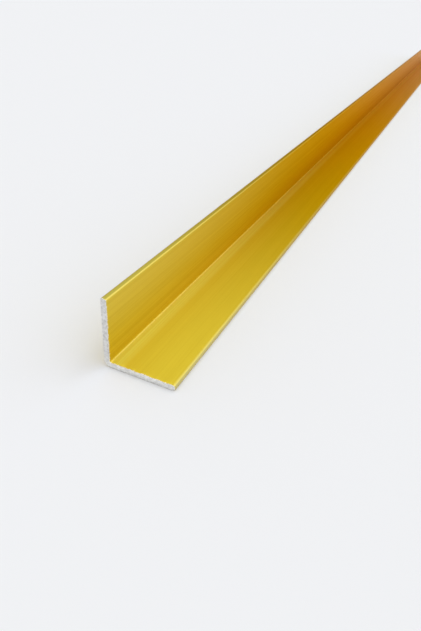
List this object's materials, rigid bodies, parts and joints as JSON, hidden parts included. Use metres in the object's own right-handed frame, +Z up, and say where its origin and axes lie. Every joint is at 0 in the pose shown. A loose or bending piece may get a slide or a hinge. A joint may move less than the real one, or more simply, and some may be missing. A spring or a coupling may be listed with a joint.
{
  "type": "aluminium angle profile",
  "caption": "Gold anodised aluminium angle bar: an equal-leg L section with a small root fillet, rounded toes and square-sawn ends, for edging, trimming and joining panels.",
  "frame": {"origin": "middle of the lying leg's underside, half way along the bar", "axes": "+Y along the bar, away from the sawn end that the picture shows; +Z up; the standing leg is on the -X side, so the angle opens towards +X and +Z"},
  "size_m": [0.025, 1, 0.025],
  "materials": {
    "gold_anodised": "satin gold anodising with fine lines along the bar; the sawn ends are bare"
  },
  "bodies": {
    "root": {"angle_bar": "gold_anodised"}
  },
  "joints": []
}
